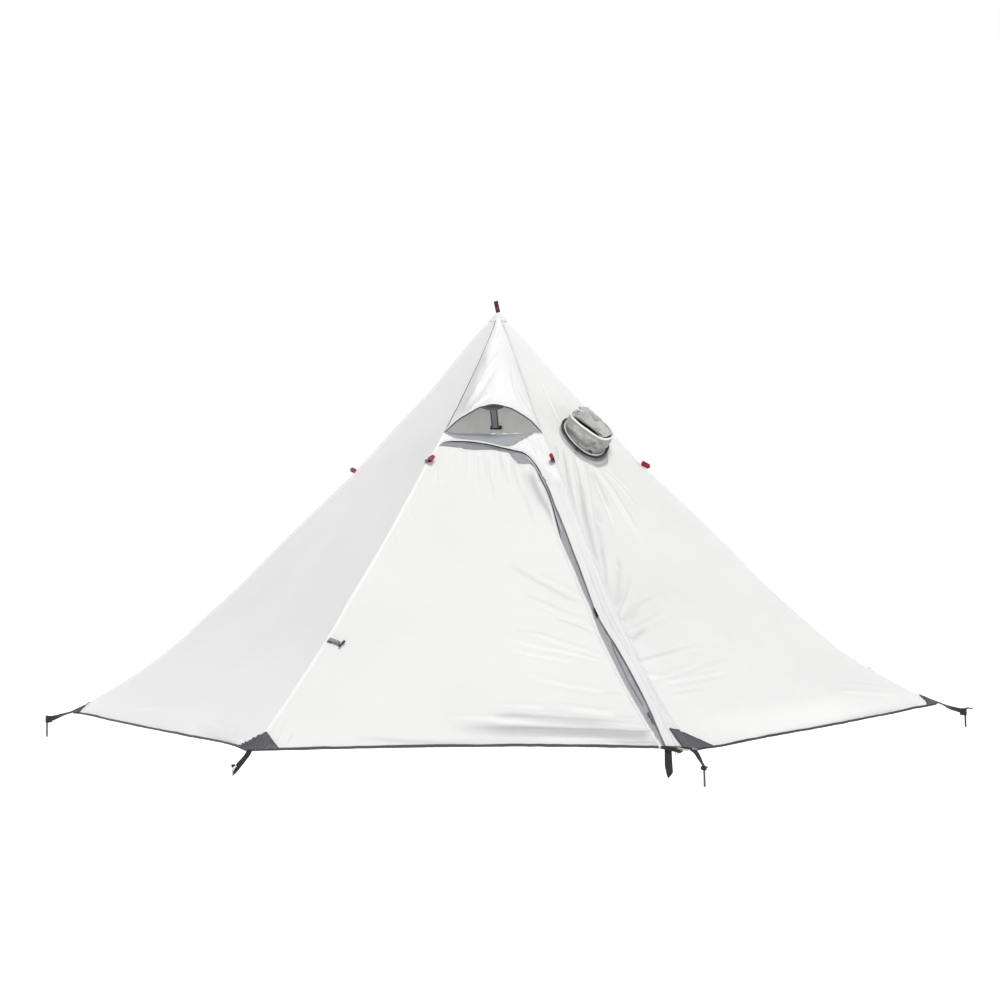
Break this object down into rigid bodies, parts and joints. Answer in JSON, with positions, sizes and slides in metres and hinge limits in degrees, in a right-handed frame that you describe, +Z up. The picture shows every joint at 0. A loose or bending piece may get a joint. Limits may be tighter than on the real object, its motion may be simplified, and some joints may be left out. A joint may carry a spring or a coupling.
{
  "type": "pyramid tent",
  "caption": "Eight-sided floorless pyramid tent pitched on pegs round one telescopic centre pole, with zipped front door, hooded top vent and stove-pipe opening.",
  "frame": {"origin": "on the ground plane, under the apex, at the middle of the pegs' footprint", "axes": "+Z up along the centre pole; the door faces -Y; +X is to the right of a person facing the door"},
  "size_m": [3.2104, 3.1106, 1.6705],
  "materials": {
    "canopy_fabric": "silicone-coated woven nylon, soft sheen",
    "vent_mesh": "fine screen",
    "grey_binding": "woven binding",
    "black_webbing": "ribbed webbing",
    "red_webbing": "ribbed webbing",
    "black_cord": "braided cord",
    "glass_cloth": "heat-resistant woven cloth",
    "zip_tape": "woven tape with coil teeth",
    "zip_metal": "dark enamelled",
    "black_plastic": "moulded",
    "rubber": "moulded",
    "pole_aluminium": "anodised",
    "peg_metal": "dark anodised"
  },
  "bodies": {
    "tent_body": {"apex_cap": "canopy_fabric", "apex_cup": "black_plastic", "apex_loop": "red_webbing", "canopy_panel_left": "canopy_fabric", "canopy_panel_left_front": "canopy_fabric", "canopy_panel_left_rear": "canopy_fabric", "canopy_panel_rear": "canopy_fabric", "canopy_panel_right": "canopy_fabric", "canopy_panel_right_front": "canopy_fabric", "canopy_panel_right_rear": "canopy_fabric", "corner_strap_front_left": "black_webbing", "corner_strap_front_right": "black_webbing", "corner_strap_left_front": "black_webbing", "corner_strap_left_rear": "black_webbing", "corner_strap_rear_left": "black_webbing", "corner_strap_rear_right": "black_webbing", "corner_strap_right_front": "black_webbing", "corner_strap_right_rear": "black_webbing", "door_zip": "zip_tape", "front_hinge_strip": "canopy_fabric", "front_yoke": "canopy_fabric", "guy_loop_front_left": "red_webbing", "guy_loop_front_right": "red_webbing", "guy_loop_left_front": "red_webbing", "guy_loop_left_rear": "red_webbing", "guy_loop_rear_left": "red_webbing", "guy_loop_rear_right": "red_webbing", "guy_loop_right_front": "red_webbing", "guy_loop_right_rear": "red_webbing", "jack_collar": "glass_cloth", "jack_cord_lock": "black_plastic", "jack_drawcord": "black_cord", "jack_ring": "glass_cloth", "peg_front_left": "peg_metal", "peg_front_right": "peg_metal", "peg_left_front": "peg_metal", "peg_left_rear": "peg_metal", "peg_rear_left": "peg_metal", "peg_rear_right": "peg_metal", "peg_right_front": "peg_metal", "peg_right_rear": "peg_metal", "pole_lock_collar": "black_plastic", "pole_tip": "black_plastic", "pole_upper_tube": "pole_aluminium", "tieback_loop": "grey_binding", "vent_brim": "grey_binding", "vent_hood": "canopy_fabric", "vent_mesh": "vent_mesh"},
    "door": {"door_panel": "canopy_fabric"},
    "door_foot_strap": {"door_strap": "black_webbing"},
    "storm_flap": {"storm_flap": "canopy_fabric"},
    "zip_slider": {"zip_slider": "zip_metal"},
    "zip_pull": {"zip_pull": "zip_metal"},
    "vent_strut": {"vent_strut": "grey_binding"},
    "jack_cover": {"jack_cover_flap": "glass_cloth"},
    "pole_lower": {"pole_lower_tube": "pole_aluminium", "pole_foot": "rubber"},
    "pole_lock_lever": {"pole_lock_lever": "black_plastic"},
    "tieback_toggle": {"tieback_toggle": "black_plastic"}
  },
  "joints": [
    {"name": "door_swing", "type": "hinge", "parent": "tent_body", "child": "door", "pos_m": [-0.54429, -1.47918, 0.09127], "axis": [-0.287, -0.6926, -0.6618], "range_deg": [0, 110]},
    {"name": "door_strap_swing", "type": "hinge", "parent": "door", "child": "door_foot_strap", "pos_m": [0.53429, -1.47971, 0.0865], "axis": [1, 0, 0], "range_deg": [-60, 60]},
    {"name": "storm_flap_fold", "type": "hinge", "parent": "tent_body", "child": "storm_flap", "pos_m": [0.59518, -1.45031, 0.11532], "axis": [-0.2905, 0.7011, 0.6512], "range_deg": [0, 150]},
    {"name": "zip_travel", "type": "slide", "parent": "tent_body", "child": "zip_slider", "axis": [-0.2897, 0.6987, 0.6541], "range_m": [0, 1]},
    {"name": "zip_pull_swing", "type": "hinge", "parent": "zip_slider", "child": "zip_pull", "pos_m": [0.5091, -1.39227, 0.16673], "axis": [-0.9571, -0.2115, -0.198], "range_deg": [0, 150]},
    {"name": "vent_strut_fold", "type": "hinge", "parent": "tent_body", "child": "vent_strut", "pos_m": [0.01, -0.44088, 1.09629], "axis": [-1, 0, 0], "range_deg": [0, 94]},
    {"name": "jack_cover_open", "type": "hinge", "parent": "tent_body", "child": "jack_cover", "pos_m": [0.33607, -0.30072, 1.18463], "axis": [-0.7071, -0.7071, 0], "range_deg": [0, 125]},
    {"name": "pole_telescope", "type": "slide", "parent": "tent_body", "child": "pole_lower", "axis": [0, 0, 1], "range_m": [0, 0.45]},
    {"name": "pole_lever_open", "type": "hinge", "parent": "tent_body", "child": "pole_lock_lever", "pos_m": [0, 0.0215, 0.846], "axis": [1, 0, 0], "range_deg": [0, 100]},
    {"name": "toggle_turn", "type": "hinge", "parent": "tent_body", "child": "tieback_toggle", "pos_m": [-0.41727, -1.16241, 0.36188], "axis": [0, -0.6645, 0.7473], "range_deg": [-45, 45]}
  ]
}
